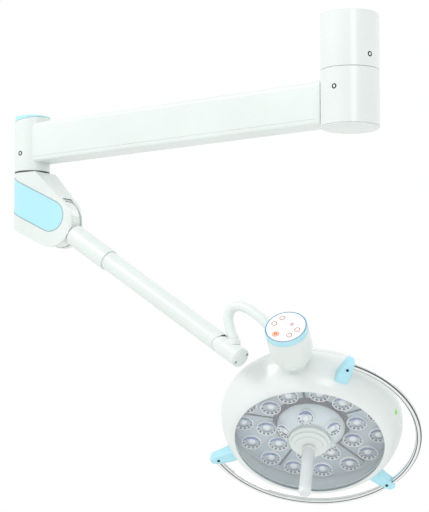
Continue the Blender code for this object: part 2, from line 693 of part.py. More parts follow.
def heat_sink(parent):
    sink = rod("heat_sink", 168.0, -39.0, -34.0, "aluminium", parent, 22)
    for k in range(6):
        fin = box("fin", (-150, -1.5, -60), (150, 1.5, -38))
        fin.data.transform(Matrix.Rotation(radians(30 * k + 15), 4, "Z"))
        join(sink, fin)
    join(sink, box("foot", (140, -30, -38), (195, 30, -28)),
         box("lug", (188.3, -30, -34), (195, 30, 14)))
    cut(sink, rod("hole", HEAD_SPINDLE_R + GAP, 170, 210, steps=24, axis="X"))
    pipe("led_board", 180.0, 22.0, -26.0, -24.4, "circuit", parent, 22)


def lens_modules(parent):
    half = radians(180 / SECTORS)
    steps = 5

    def arc(radius, shrink):
        reach = half - asin(shrink / radius)
        return [(radius * cos(reach * (2 * i / steps - 1)), radius * sin(reach * (2 * i / steps - 1)))
                for i in range(steps + 1)]

    shrink = SECTOR_GAP / 2
    outline = arc(SECTOR_OUTER, shrink) + arc(SECTOR_INNER, shrink)[::-1]
    first = prism("lens_module_1", outline, LENS_FRONT - 6, LENS_FRONT - 3.5, "lens", parent)
    for radius, angle in LENS_PLACES:
        spot = (radius * cos(radians(angle)), radius * sin(radians(angle)), 0)
        join(first, lathe("cup", [(0, LENS_BACK), (LENS_BACK_R, LENS_BACK), (LENS_R, LENS_FRONT),
                                  (0, LENS_FRONT)], steps=12, centre=spot))
    shape = first.data.copy()
    for k in range(SECTORS):
        item = first
        if k:
            item = bpy.data.objects.new("lens_module_%d" % (k + 1), shape.copy())
            bpy.context.collection.objects.link(item)
            item.parent = parent
        item.data.transform(Matrix.Rotation(radians(72 * k + 36), 4, "Z"))


def centre_and_handle(parent, handle_parent):
    lathe("centre_module", [
        (82, -10), (82, 8), (76, 22), (60, 33), (50, 37), (20, 37), (20, 34), (49, 34),
        (58.5, 30.2), (73.3, 20.4), (79, 7.4), (79, -7), (20, -7), (20, -10)],
        "lens", parent, 22)
    lathe("handle_mount", [(0, -33.7), (19.5, -33.7), (19.5, 37.4), (48, 37.4), (48, 50), (42, 54),
                           (42, 58), (33, 60), (33, 66), (10, 68), (10, 120), (0, 120)],
          "cover_white", parent, 24)
    lathe("sterile_handle", [(HANDLE_R, HANDLE_START), (HANDLE_R, HANDLE_END - 7),
                             (HANDLE_R - 2.5, HANDLE_END - 2.5), (8, HANDLE_END), (0, HANDLE_END),
                             (0, HANDLE_END - 4), (8, HANDLE_END - 5), (10.4, HANDLE_END - 8),
                             (10.4, HANDLE_START)], "clear", handle_parent, 24)


def rail_and_brackets(parent):
    spread = 28
    first, last = BRACKET_ANGLES[0] + 2.0, BRACKET_ANGLES[-1] - 2.0
    arc = [radians(first + (last - first) * i / spread) for i in range(spread + 1)]
    path = [(RAIL_R * cos(a), RAIL_R * sin(a), RAIL_Z) for a in arc]
    sweep("hand_rail", path, [RAIL_TUBE], "chrome", parent, sides=8)

    def tunnel(angle):
        """The rail's own run past a bracket, a little larger than the rail."""
        low, high = max(angle - 9.0, last - 0.1), min(angle + 9.0, first + 0.1)
        turns = [radians(low + (high - low) * i / 6) for i in range(7)]
        return sweep("tunnel", [(RAIL_R * cos(a), RAIL_R * sin(a), RAIL_Z) for a in turns],
                     [RAIL_TUBE + 1.3], sides=8)

    wall = lathe("wall_form", [(0, -60)] + [(r + 0.6, z) for r, z in HEAD_OUTLINE]
                 + [(0, OPENING_Z)], steps=24)
    for index, angle in enumerate(BRACKET_ANGLES):
        low, high = RAIL_Z - 20.0, RAIL_Z + 20.0
        block = prism("rail_bracket_%d" % (index + 1),
                      [(190, -24), (225, -21), (BRACKET_OUTER - 5, -14), (BRACKET_OUTER, -8),
                       (BRACKET_OUTER, 8), (BRACKET_OUTER - 5, 14), (225, 21), (190, 24)],
                      low, high, "pale_blue", parent)
        block.data.transform(Matrix.Rotation(radians(angle), 4, "Z"))
        copy = bpy.data.objects.new("wall_copy", wall.data.copy())
        bpy.context.collection.objects.link(copy)
        cut(block, copy, tunnel(angle))
    bpy.data.objects.remove(wall, do_unlink=True)


# ---------------------------------------------------------------- assembly

def build():
    clear_scene()
    ceiling_column()
    swing = frame_empty("column_axis", Matrix.Identity(4))
    hub(swing)
    horizontal_arm(swing)
    side_screw("upper_cover_screw", radians(-14), (0, 0, -98), COLUMN_R,
               bpy.data.objects["upper_cover"])
    knuckle_axis = frame_empty("knuckle_axis", place(-ARM_LENGTH, 0, 0), swing)
    bpy.context.view_layer.update()
    knuckle(knuckle_axis)

    world_arm = place(PIVOT[0], 0, PIVOT[1]) @ Matrix.Rotation(ARM_DIP, 4, "Y")
    world_end = world_arm @ place(LEVEL_PIVOT, 0, 0)
    world_neck = place(SWIVEL[0], 0, SWIVEL[1])
    world_tilt = place(TILT_POINT[0], 0, TILT_POINT[1]) @ Matrix.Rotation(NECK_DIP, 4, "Y")
    world_pod = world_tilt @ Matrix.Rotation(POD_TILT, 4, "X")
    head_axes = Matrix(((0, -cos(HEAD_TURN), sin(HEAD_TURN), 0),
                        (0, -sin(HEAD_TURN), -cos(HEAD_TURN), 0),
                        (1, 0, 0, -POD_TO_HEAD * MM),
                        (0, 0, 0, 1)))
    world_head = world_pod @ head_axes
    frames = {}
    for name, world in (("arm_hinge", world_arm), ("level_hinge", world_end),
                        ("neck_axis", world_neck), ("tilt_axis", world_pod),
                        ("head_axis", world_head)):
        frames[name] = frame_empty(name, world)

    spring_arm(frames["arm_hinge"])
    end_block(frames["level_hinge"], world_end.inverted())
    neck(frames["neck_axis"], world_neck.inverted() @ world_tilt)
    places = control_pod(frames["tilt_axis"])
    for name, (x, y, _) in places.items():
        axis = frame_empty(name + "_axis", world_pod @ place(x, y, PANEL_FACE))
        button(name, "orange" if name == "button_power" else "panel", axis)
    head_shells(frames["head_axis"])
    heat_sink(frames["head_axis"])
    lens_modules(frames["head_axis"])
    handle_axis = frame_empty("handle_axis", world_head)
    centre_and_handle(frames["head_axis"], handle_axis)
    rail_and_brackets(frames["head_axis"])


build()
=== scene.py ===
"""Studio scene of the ceiling-hung operating light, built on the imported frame.

Sizes are in millimetres, each in the frame of the sub-assembly that it belongs to.
"""
from math import asin, cos, pi, radians, sin, sqrt

import bmesh
import bpy
from mathutils import Matrix, Vector


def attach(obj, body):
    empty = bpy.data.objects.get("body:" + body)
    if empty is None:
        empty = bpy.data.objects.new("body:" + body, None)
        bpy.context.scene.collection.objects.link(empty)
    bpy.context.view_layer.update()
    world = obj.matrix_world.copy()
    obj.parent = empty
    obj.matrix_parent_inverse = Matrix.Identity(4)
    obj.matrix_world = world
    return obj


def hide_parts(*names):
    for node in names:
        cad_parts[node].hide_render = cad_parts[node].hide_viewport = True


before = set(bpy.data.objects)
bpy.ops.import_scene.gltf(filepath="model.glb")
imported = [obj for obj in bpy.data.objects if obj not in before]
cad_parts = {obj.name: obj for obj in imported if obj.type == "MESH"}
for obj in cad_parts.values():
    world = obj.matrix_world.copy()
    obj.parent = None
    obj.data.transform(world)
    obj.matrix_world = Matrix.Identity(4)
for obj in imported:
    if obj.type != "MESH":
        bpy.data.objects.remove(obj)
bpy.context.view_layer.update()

# ---------------------------------------------------------------- driving dimensions

MM = 0.001
COLUMN_R = 65.0
REACH = 945.0                                      # ceiling swivel to knuckle swivel
END_R = 43.5                                       # end cylinder of the horizontal arm
BAR_HALF, BAR_TOP, BAR_LOW = 32.0, -143.5, -241.5  # section of the horizontal arm
PIVOT_X, PIVOT_Z = -856, -394                      # hinge of the spring arm
ARM_SLOPE = 32.2
TUBE_R, TUBE_BORE, TUBE_END = 23.0, 20.5, 586.0
LEVEL_AT = 604                                     # levelling hinge, along the spring arm
NECK_X, NECK_Z = -322, -712
TILT_X, TILT_Z, TILT_DIP = -170, -700, 25
POD_ROLL = 45
HEAD_DROP, HEAD_TURN = 298, 37
PANEL_Z = 30
KEY_CIRCLE = 29
LENS_R, LENS_TOP = 24.2, -2.6
MIDDLE_LENS_R, MIDDLE_TILT = 19.6, 33
RAIL_R, RAIL_Z, RAIL_TUBE = 248, 17, 7.4
RAIL_START, RAIL_END = -28, -255
BRACKET_ANGLES = (-30, -141.5, -253)


# ---------------------------------------------------------------- materials

def material(name, colour, rough, metal=0.0, vary=0.03, bump=0.05, scale=60.0, rough_vary=0.08,
             alpha=1.0, coat=0.0, transmission=0.0):
    """A Principled finish with slow colour drift, uneven gloss and a fine surface grain."""
    mat = bpy.data.materials.new(name)
    mat.use_nodes = True
    tree = mat.node_tree
    shader = tree.nodes["Principled BSDF"]
    shader.inputs["Metallic"].default_value = metal
    shader.inputs["Alpha"].default_value = alpha
    shader.inputs["Coat Weight"].default_value = coat
    shader.inputs["Coat Roughness"].default_value = 0.12
    shader.inputs["Transmission Weight"].default_value = transmission
    place_node = tree.nodes.new("ShaderNodeTexCoord")

    drift = tree.nodes.new("ShaderNodeTexNoise")
    drift.inputs["Scale"].default_value = 5.0
    drift.inputs["Detail"].default_value = 4.0
    ramp = tree.nodes.new("ShaderNodeValToRGB")
    dark = [c * (1.0 - vary) for c in colour]
    light = [min(1.0, c * (1.0 + vary)) for c in colour]
    ramp.color_ramp.elements[0].position = 0.3
    ramp.color_ramp.elements[0].color = (*dark, 1.0)
    ramp.color_ramp.elements[1].position = 0.7
    ramp.color_ramp.elements[1].color = (*light, 1.0)
    tree.links.new(place_node.outputs["Object"], drift.inputs["Vector"])
    tree.links.new(drift.outputs["Fac"], ramp.inputs["Fac"])
    tree.links.new(ramp.outputs["Color"], shader.inputs["Base Color"])

    smear = tree.nodes.new("ShaderNodeTexNoise")
    smear.inputs["Scale"].default_value = 18.0
    smear.inputs["Detail"].default_value = 6.0
    gloss = tree.nodes.new("ShaderNodeMapRange")
    gloss.inputs["To Min"].default_value = max(0.02, rough - rough_vary)
    gloss.inputs["To Max"].default_value = min(1.0, rough + rough_vary)
    tree.links.new(place_node.outputs["Object"], smear.inputs["Vector"])
    tree.links.new(smear.outputs["Fac"], gloss.inputs["Value"])
    tree.links.new(gloss.outputs["Result"], shader.inputs["Roughness"])

    grain = tree.nodes.new("ShaderNodeTexNoise")
    grain.inputs["Scale"].default_value = scale * 10.0
    grain.inputs["Detail"].default_value = 3.0
    relief = tree.nodes.new("ShaderNodeBump")
    relief.inputs["Strength"].default_value = bump
    relief.inputs["Distance"].default_value = 0.0004
    tree.links.new(place_node.outputs["Object"], grain.inputs["Vector"])
    tree.links.new(grain.outputs["Fac"], relief.inputs["Height"])
    tree.links.new(relief.outputs["Normal"], shader.inputs["Normal"])
    return mat


WHITE = material("white_shell", (0.70, 0.745, 0.73), 0.30, coat=0.25, bump=0.03)
COAT = material("powder_coat", (0.68, 0.735, 0.715), 0.36, coat=0.12, bump=0.10, scale=90)
BLUE = material("pale_blue", (0.40, 0.72, 0.82), 0.34, coat=0.2, bump=0.04)
SEAM = material("seam_grey", (0.25, 0.31, 0.32), 0.55, bump=0.0)
SKIRT = material("skirt_blue_white", (0.72, 0.82, 0.86), 0.35, vary=0.04)
# dark chrome for the painted reflection streaks along the grip rail
CHROME_PAINTED_REFLECTION = material("chrome_painted_reflection", (0.10, 0.12, 0.12), 0.14, metal=1.0, bump=0.01, rough_vary=0.03)
STEEL = material("turned_steel", (0.60, 0.61, 0.62), 0.28, metal=1.0, bump=0.10)
CHROME = material("polished_chrome", (0.78, 0.79, 0.80), 0.09, metal=1.0, bump=0.01, rough_vary=0.03)
DARK = material("dark_rubber", (0.045, 0.05, 0.055), 0.50, bump=0.10)
SCREW = material("black_screw", (0.03, 0.035, 0.045), 0.35, metal=0.6, bump=0.05)
ALUMINIUM = material("cast_aluminium", (0.55, 0.56, 0.57), 0.42, metal=1.0, bump=0.20)
BRONZE = material("plain_bronze", (0.50, 0.34, 0.18), 0.38, metal=1.0)
CLEAR = material("clear_plate", (0.93, 0.97, 0.98), 0.06, alpha=0.13, bump=0.0, rough_vary=0.02)
LENS = material("lens_plastic", (0.80, 0.86, 0.92), 0.10, coat=0.6, bump=0.02, vary=0.06)
LENS_RIM = material("lens_rim", (0.40, 0.49, 0.56), 0.18, coat=0.4, vary=0.18)
LENS_EDGE = material("lens_edge", (0.86, 0.89, 0.91), 0.15, coat=0.5, vary=0.04)
# dark blue for the painted reflection band laid in each lens
LENS_PAINTED_REFLECTION = material("lens_painted_reflection", (0.06, 0.14, 0.42), 0.12, coat=0.8, vary=0.5)
LENS_CLEAR = material("lens_core", (0.90, 0.93, 0.95), 0.06, coat=0.8, vary=0.04)
# dark board colour, also used for painted shade under the lens modules and round the middle module, and for
# the painted reflection ticks in the lenses
BOARD_PAINTED_SHADE_AND_REFLECTION = material("dark_board_painted_shade_and_reflection", (0.012, 0.018, 0.045), 0.38, vary=0.2)
ORANGE = material("orange_cap", (0.76, 0.22, 0.08), 0.38, coat=0.2)
FOIL = material("panel_foil", (0.80, 0.85, 0.84), 0.34, vary=0.02)
INK_BLUE = material("print_blue", (0.10, 0.18, 0.36), 0.4)
INK_RED = material("print_red", (0.50, 0.06, 0.05), 0.4)
GREEN = material("indicator_green", (0.12, 0.78, 0.04), 0.2, coat=0.5)
HANDLE = material("frosted_handle", (0.86, 0.90, 0.90), 0.22, coat=0.3, transmission=0.25)
FLOOR = material("studio_floor", (0.88, 0.88, 0.87), 0.7, vary=0.01, bump=0.0)


# ---------------------------------------------------------------- frames

def at(x, y, z):
    return Matrix.Translation(Vector((x, y, z)) * MM)


def turned(angle, axis):
    return Matrix.Rotation(radians(angle), 4, axis)


WORLD = Matrix.Identity(4)
ARM_END = at(-REACH, 0, 0)
ARM = at(PIVOT_X, 0, PIVOT_Z) @ turned(ARM_SLOPE, "Y")
LEVEL = ARM @ at(LEVEL_AT, 0, 0)
NECK = at(NECK_X, 0, NECK_Z)
TILT = at(TILT_X, 0, TILT_Z) @ turned(TILT_DIP, "Y")
POD = TILT @ turned(POD_ROLL, "X")
TURN = radians(HEAD_TURN)
HEAD = POD @ Matrix(((0, -cos(TURN), sin(TURN), 0),
                     (0, -sin(TURN), -cos(TURN), 0),
                     (1, 0, 0, -HEAD_DROP * MM),
                     (0, 0, 0, 1)))
ALONG_X = Matrix.Rotation(pi / 2, 4, "Y")
ACROSS_BAR = Matrix(((0, 0, 1, 0), (1, 0, 0, 0), (0, 1, 0, 0), (0, 0, 0, 1)))


# ---------------------------------------------------------------- building

def add_bevel(item, width, segments, angle):
    """Round the edges sharper than an angle in degrees; width is in millimetres."""
    step = item.modifiers.new("bevel", "BEVEL")
    step.width = width * MM
    step.segments = segments
    step.limit_method = "ANGLE"
    step.angle_limit = radians(angle)
    step.harden_normals = True


def piece(mesh, name, mat, body, nodes=(), bevel=0.0, sharp=32.0, segments=3):
    """Turn a bmesh in world metres into a piece that rides on a body."""
    bmesh.ops.remove_doubles(mesh, verts=mesh.verts, dist=1e-6)
    bmesh.ops.recalc_face_normals(mesh, faces=mesh.faces)
    data = bpy.data.meshes.new(name)
    mesh.to_mesh(data)
    mesh.free()
    data.shade_smooth()
    data.set_sharp_from_angle(angle=radians(sharp))
    data.materials.append(mat)
    item = bpy.data.objects.new(name, data)
    bpy.context.collection.objects.link(item)
    if bevel:
        add_bevel(item, bevel, segments, 35)
    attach(item, body)
    if nodes:
        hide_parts(*nodes)
    return item


def spin_mesh(outline, matrix, steps=96, mesh=None):
    """Lathe (radius, height) points round Z; a radius of 0 closes the shape."""
    mesh = mesh or bmesh.new()
    rings = []
    for r, z in outline:
        if r <= 0.0:
            rings.append([mesh.verts.new(matrix @ Vector((0, 0, z * MM)))])
            continue
        rings.append([mesh.verts.new(matrix @ (Vector((r * cos(2 * pi * k / steps),
                                                       r * sin(2 * pi * k / steps), z)) * MM))
                      for k in range(steps)])
    closed = outline[0][0] > 0.0 or outline[-1][0] > 0.0
    pairs = list(zip(rings, rings[1:])) + ([(rings[-1], rings[0])] if closed else [])
    for low, high in pairs:
        if len(low) == 1 and len(high) == 1:
            continue
        for k in range(steps):
            j = (k + 1) % steps
            if len(low) == 1:
                mesh.faces.new((low[0], high[j], high[k]))
            elif len(high) == 1:
                mesh.faces.new((low[k], low[j], high[0]))
            else:
                mesh.faces.new((low[k], low[j], high[j], high[k]))
    return mesh


def lathe(name, outline, matrix, mat, body, nodes=(), steps=96, bevel=0.0, sharp=32.0):
    return piece(spin_mesh(outline, matrix, steps), name, mat, body, nodes, bevel, sharp)


def curve_points(points, per_span=6):
    """Catmull-Rom curve through points of any dimension."""
    points = [Vector(p) for p in points]
    last = len(points) - 1
    path = []
    for i in range(last):
        p0, p1, p2, p3 = (points[max(0, min(last, i + k))] for k in (-1, 0, 1, 2))
        for step in range(per_span):
            t = step / per_span
            path.append(0.5 * (2 * p1 + (p2 - p0) * t + (2 * p0 - 5 * p1 + 4 * p2 - p3) * t ** 2
                               + (3 * p1 - p0 - 3 * p2 + p3) * t ** 3))
    path.append(points[-1])
    return path


def rounded_profile(points):
    return [tuple(p) for p in curve_points(points, 3)]


def sweep_mesh(path, radius, matrix, sides=32):
    """A round bar along a path, closed at both ends."""
    mesh = bmesh.new()
    path = [Vector(p) for p in path]
    tangents = [(path[min(i + 1, len(path) - 1)] - path[max(i - 1, 0)]).normalized()
                for i in range(len(path))]
    normal = tangents[0].orthogonal()
    rings = []
    for point, tangent in zip(path, tangents):
        normal = (normal - tangent * normal.dot(tangent)).normalized()
        side = tangent.cross(normal)
        ring = []
        for k in range(sides):
            out = normal * cos(2 * pi * k / sides) + side * sin(2 * pi * k / sides)
            ring.append(mesh.verts.new(matrix @ ((point + out * radius) * MM)))
        rings.append(ring)
    for low, high in zip(rings, rings[1:]):
        for k in range(sides):
            mesh.faces.new((low[k], low[k - 1], high[k - 1], high[k]))
    mesh.faces.new(rings[0])
    mesh.faces.new(rings[-1])
    return mesh


def loft_mesh(outline, low_of, high_of, matrix, mesh=None):
    """A closed block over an outline whose floor and top heights depend on x."""
    mesh = mesh or bmesh.new()
    base = [mesh.verts.new(matrix @ (Vector((x, y, low_of(x))) * MM)) for x, y in outline]
    top = [mesh.verts.new(matrix @ (Vector((x, y, high_of(x))) * MM)) for x, y in outline]
    mesh.faces.new(base)
    mesh.faces.new(top)
    for k in range(len(outline)):
        mesh.faces.new((base[k], base[k - 1], top[k - 1], top[k]))
    return mesh


def prism_mesh(outline, low, high, matrix, mesh=None):
    return loft_mesh(outline, lambda x: low, lambda x: high, matrix, mesh)


def arc(cx, cy, r, start, end, count):
    return [(cx + r * cos(radians(start + (end - start) * i / count)),
             cy + r * sin(radians(start + (end - start) * i / count))) for i in range(count + 1)]


def socket_screw(name, matrix, radius, height, body, nodes=()):
    """A cap screw with a chamfered rim and a hexagonal recess; its head stands along +Z."""
    shank_depth = -5
    mesh = spin_mesh([(radius * 0.5, shank_depth), (radius * 0.5, 0), (radius, 0), (radius, height * 0.7),
                      (radius * 0.88, height), (radius * 0.56, height)], matrix, 36)
    hexagon = [(radius * 0.5 * cos(radians(60 * k)), radius * 0.5 * sin(radians(60 * k)))
               for k in range(6)]
    prism_mesh(hexagon, shank_depth, -height * 0.2, matrix, mesh)
    return piece(mesh, name, SCREW, body, nodes)


def wall_frame(angle, centre, reach):
    """Frame on a vertical cylinder's wall whose Z points out of it."""
    return at(*centre) @ turned(angle, "Z") @ at(reach, 0, 0) @ ALONG_X


def bridge(mesh, rings):
    for low_ring, high_ring in zip(rings, rings[1:]):
        for k in range(len(low_ring)):
            mesh.faces.new((low_ring[k - 1], low_ring[k], high_ring[k], high_ring[k - 1]))


# ---------------------------------------------------------------- ceiling column and hub

lathe("column_cover", [(62, -0.4), (COLUMN_R, -0.4), (COLUMN_R, -124.4), (64, -125.0), (23, -124.8),
                       (23, -121.5), (62, -121.5)],
      WORLD, WHITE, "ceiling", ["upper_cover"], 128, 0.5)
lathe("hub_shell", [(30, -125.6), (64, -125.6), (COLUMN_R, -126.6), (COLUMN_R, -249.4), (62, -249.6),
                    (62, -223), (22.3, -223), (22.3, -214), (62, -214), (62, -135), (30, -135)],
      WORLD, WHITE, "swing_arm", ["hub_housing"], 128, 0.5)
lathe("hub_cap", [(0, -256.0), (40, -255.9), (56, -255.6), (61.5, -254.4), (64.2, -252.4),
                  (COLUMN_R, -250.2), (64.6, -249.9), (61.7, -249.9), (61.7, -244), (58, -244),
                  (58, -252.5), (0, -253)],
      WORLD, WHITE, "swing_arm", ["hub_bottom_cap"], 128)

COLUMN_SCREW_REACH, END_SCREW_REACH = COLUMN_R - 0.8, END_R - 0.8
socket_screw("cover_screw", wall_frame(-14, (0, 0, -98), COLUMN_SCREW_REACH), 6, 1.2, "ceiling",
             ["upper_cover_screw"])
socket_screw("housing_screw", wall_frame(-88, (0, 0, -169), COLUMN_SCREW_REACH), 6, 1.2, "swing_arm",
             ["hub_screw"])
socket_screw("end_screw", wall_frame(-90, (-REACH, 0, -219), END_SCREW_REACH), 6, 1.2, "swing_arm",
             ["arm_end_screw"])


# ---------------------------------------------------------------- horizontal arm

def bar_section():
    """Round-topped section of the arm with a fine groove low on each side."""
    r, foot_r, groove = 12.0, 7, 1.1
    edges = [(0, 13.6), (groove, 12.6), (groove, 11.4), (0, 10.4)]
    return (arc(BAR_HALF - r, BAR_TOP - r, r, 0, 90, 8) + arc(-BAR_HALF + r, BAR_TOP - r, r, 90, 180, 8)
            + [(-BAR_HALF + depth, BAR_LOW + rise) for depth, rise in edges]
            + arc(-BAR_HALF + foot_r, BAR_LOW + foot_r, foot_r, 180, 270, 6)
            + arc(BAR_HALF - foot_r, BAR_LOW + foot_r, foot_r, 270, 360, 6)
            + [(BAR_HALF - depth, BAR_LOW + rise) for depth, rise in edges[::-1]])


piece(prism_mesh(bar_section(), -940, -72.3, ACROSS_BAR), "arm_bar", COAT, "swing_arm",
      ["horizontal_arm"], sharp=28)


def end_ring(mesh, r, height_of, steps=96):
    """A ring round the end cylinder's axis whose height depends on x."""
    ring = []
    for k in range(steps):
        x, y = r * cos(2 * pi * k / steps), r * sin(2 * pi * k / steps)
        ring.append(mesh.verts.new(ARM_END @ (Vector((x, y, height_of(x))) * MM)))
    return ring


def flat_ring(mesh, r, z):
    return end_ring(mesh, r, lambda x: z)


def slanted_ring(mesh, r, drop):
    """A ring on the end cap's slanted joint, which climbs towards the hub."""
    return end_ring(mesh, r, lambda x: -141.6 + (x + END_R) / 87.0 * 13.6 + drop)


mesh = bmesh.new()
rings = [flat_ring(mesh, 16.3, -262.5), flat_ring(mesh, 42.3, -262.5), flat_ring(mesh, END_R, -261.3),
         slanted_ring(mesh, END_R, -0.9), slanted_ring(mesh, 43.0, -0.4), slanted_ring(mesh, 39.5, -0.4),
         flat_ring(mesh, 39.5, -165), flat_ring(mesh, 16.3, -165)]
bridge(mesh, rings + rings[:1])
piece(mesh, "arm_end_housing", COAT, "swing_arm")

mesh = bmesh.new()
rings = [slanted_ring(mesh, 39.5, 0.0), slanted_ring(mesh, 43.1, 0.1), slanted_ring(mesh, END_R, 0.5)]
for r, z in [(END_R, -127.0), (43.2, -126.0), (42.0, -125.0), (38, -124.0), (30, -122.8), (20, -121.8),
             (10, -121.2), (3, -121.0)]:
    rings.append(flat_ring(mesh, r, z))
bridge(mesh, rings)
mesh.faces.new(rings[-1])
mesh.faces.new(rings[0])
piece(mesh, "arm_end_cover", BLUE, "swing_arm", ["arm_end_cap"])

# flange between the arm and the hub
FLANGE_HALF, FLANGE_TOP, FLANGE_LOW = 33.5, -142, -243
outline = (arc(FLANGE_HALF - 11, FLANGE_TOP - 11, 11, 0, 90, 6)
           + arc(-FLANGE_HALF + 11, FLANGE_TOP - 11, 11, 90, 180, 6)
           + arc(-FLANGE_HALF + 9, FLANGE_LOW + 9, 9, 180, 270, 6)
           + arc(FLANGE_HALF - 9, FLANGE_LOW + 9, 9, 270, 360, 6))
piece(prism_mesh(outline, -72, -58, ACROSS_BAR), "arm_gasket", COAT, "swing_arm", ["arm_flange"],
      0.8)

# ---------------------------------------------------------------- knuckle

lathe("knuckle_seal", [(16.4, -266.1), (42.2, -266.1), (42.9, -265.4), (42.9, -263.6), (42.2, -262.9),
                       (16.4, -262.9)], ARM_END, DARK, "knuckle", ["knuckle_washer"])


def cheek_y(x):
    """Half width of the knuckle's cheek at x: a round end, then a straight taper to the nose."""
    if x < -939:
        return sqrt(max(0.0, END_R ** 2 - (x + REACH) ** 2))
    return 43.2 - (x + 939) * 18.2 / 133.0


def trim_run(start, steps=16):
    """Straight edge of the blue trim, from its round nose back along its slope."""
    far_x, slope = -985, 0.5095
    x, z = start
    return [(x + (far_x - x) * i / steps, z - (far_x - x) * i / steps * slope) for i in range(steps + 1)]


trim_nose = arc(PIVOT_X, -379, 37.6, 63, -117, 28)
trim_edge = trim_run(trim_nose[0])[::-1] + trim_nose[1:-1] + trim_run(trim_nose[-1])
for sign, label in ((-1, "front"), (1, "rear")):
    run = [(x, sign * (cheek_y(x) + 0.05), z) for x, z in trim_edge]
    piece(sweep_mesh(run, 0.75, WORLD, 8), "trim_seam_" + label, SEAM, "knuckle")

# ---------------------------------------------------------------- spring arm

lathe("sleeve_shell", [(23.4, 62.6), (25.0, 62.6), (26, 63.8), (26, 127.4), (25.5, 127.8), (25.5, 128.4),
                       (26, 128.8), (26, 189.8), (25.2, 191), (23.4, 191)],
      ARM @ ALONG_X, COAT, "spring_arm", ["arm_sleeve"])


def tube_ring(mesh, matrix, x_of, radius=TUBE_R, steps=96):
    """A ring round the X axis whose place along it depends on z."""
    ring = []
    for k in range(steps):
        y, z = radius * cos(2 * pi * k / steps), radius * sin(2 * pi * k / steps)
        ring.append(mesh.verts.new(matrix @ (Vector((x_of(z), y, z)) * MM)))
    return ring


def hollow_end(z):
    """End of the arm tube: hollowed about the levelling hinge and cut square at its tips."""
    return min(TUBE_END, LEVEL_AT - sqrt(max(0.0, 24.0 ** 2 - z * z)))


mesh = bmesh.new()
rings = [tube_ring(mesh, ARM, lambda z: 100.0, 22.3), tube_ring(mesh, ARM, lambda z: 100.0),
         tube_ring(mesh, ARM, lambda z: 560.0), tube_ring(mesh, ARM, lambda z: 563.0),
         tube_ring(mesh, ARM, hollow_end), tube_ring(mesh, ARM, hollow_end, TUBE_BORE),
         tube_ring(mesh, ARM, lambda z: 563.0, TUBE_BORE)]
bridge(mesh, rings)
mesh.faces.new(rings[0])
mesh.faces.new(rings[-1])
piece(mesh, "arm_tube_shell", COAT, "spring_arm", ["arm_tube"])
lathe("arm_seam", [(23.02, 561.4), (23.25, 561.8), (23.25, 562.6), (23.02, 563.0)], ARM @ ALONG_X, COAT,
      "spring_arm")


def close_round_back(mesh, back):
    """Skin the end block's rounded back with strips from one side of the ring to the other."""
    steps = len(back)
    for k in range(steps // 4):
        for a, b, c, d in ((back[k], back[k + 1], back[steps // 2 - k - 1], back[steps // 2 - k]),
                           (back[-k], back[-k - 1], back[(steps // 2 + k + 1) % steps],
                            back[(steps // 2 + k) % steps])):
            mesh.faces.new((a, b, c, d) if k < steps // 4 - 1 else (a, b, d))


# end block: a short round bar whose back is rounded about the levelling hinge
mesh = bmesh.new()
rings = [tube_ring(mesh, LEVEL, lambda z: -sqrt(max(0.0, TUBE_R ** 2 - z * z))),
         tube_ring(mesh, LEVEL, lambda z: 0.0), tube_ring(mesh, LEVEL, lambda z: 49.2)]
bridge(mesh, rings)
mesh.faces.new(rings[-1])
close_round_back(mesh, rings[0])
piece(mesh, "level_block_shell", COAT, "level_block", ["end_block"])
lathe("level_block_cap", [(0, 49.8), (22.6, 49.8), (23, 50.2), (23, 51.4), (22.4, 52.5), (21, 53), (0, 53)],
      LEVEL @ ALONG_X, COAT, "level_block", ["end_cap"])
for label, sign in (("a", -1), ("b", 1)):
    socket_screw("cap_screw_" + label, LEVEL @ at(52.6, sign * 13.5, sign * 11) @ ALONG_X, 3.1, 0.9,
                 "level_block")

# ---------------------------------------------------------------- neck

lathe("neck_collar_ring", [(0, 0), (15, 0), (16, 1), (16, 10.8), (15, 12), (12.2, 12), (12.2, 6), (0, 6)],
      NECK, WHITE, "neck", ["swivel_spigot"])
bends = [(-322.0, -708.7), (-322.0, -696.5), (-326.0, -688.0), (-332.0, -674.0), (-336.5, -655.0),
         (-333.5, -637.5), (-321.0, -627.5), (-303.0, -626.0), (-283.0, -632.0), (-262.5, -643.5),
         (-244.0, -656.5), (-230.5, -667.5)]
dip = radians(TILT_DIP)
bends += [(TILT_X + cos(dip) * reach, TILT_Z - sin(dip) * reach) for reach in (-52.0, -34.0)]
piece(sweep_mesh([(p.x, 0.0, p.y) for p in curve_points(bends, 8)], 11.6, WORLD, 40), "neck_pipe", COAT,
      "neck", ["neck_tube"])

# ---------------------------------------------------------------- control pod

lathe("pod_shell", [(48.2, 15.9), (48.4, 15.4), (48.5, -34), (47.9, -42), (46.0, -51), (42.5, -60),
                    (37.5, -69), (32.0, -77), (28.6, -82.0), (27.6, -82.7), (25.5, -82.7), (29, -75),
                    (36, -66), (43, -50), (45.4, -38), (45.4, 15.9)],
      POD, COAT, "control_pod", ["pod_housing"], 128)
lathe("pod_band", [(48.3, 16.3), (48.6, 16.8), (48.6, 27.6), (47.9, 28.7), (46.5, 28.8), (46.4, 26.7),
                   (44.4, 26.7), (44.4, 16.3)], POD, BLUE, "control_pod", ["pod_ring"], 128)
lathe("panel_plate", [(0, 27), (46, 27), (46, 29.4), (45.4, PANEL_Z), (0, PANEL_Z)], POD, FOIL,
      "control_pod", ["control_panel"], 128)

PRINT_Z = PANEL_Z + 0.02
PRINT_HEIGHT = 0.12


def printed_ring(name, r, width, x, y, mat, z=PRINT_Z):
    lathe(name, [(r, z), (r, z + PRINT_HEIGHT), (r - width, z + PRINT_HEIGHT), (r - width, z)],
          POD @ at(x, y, 0), mat, "control_pod", steps=64)


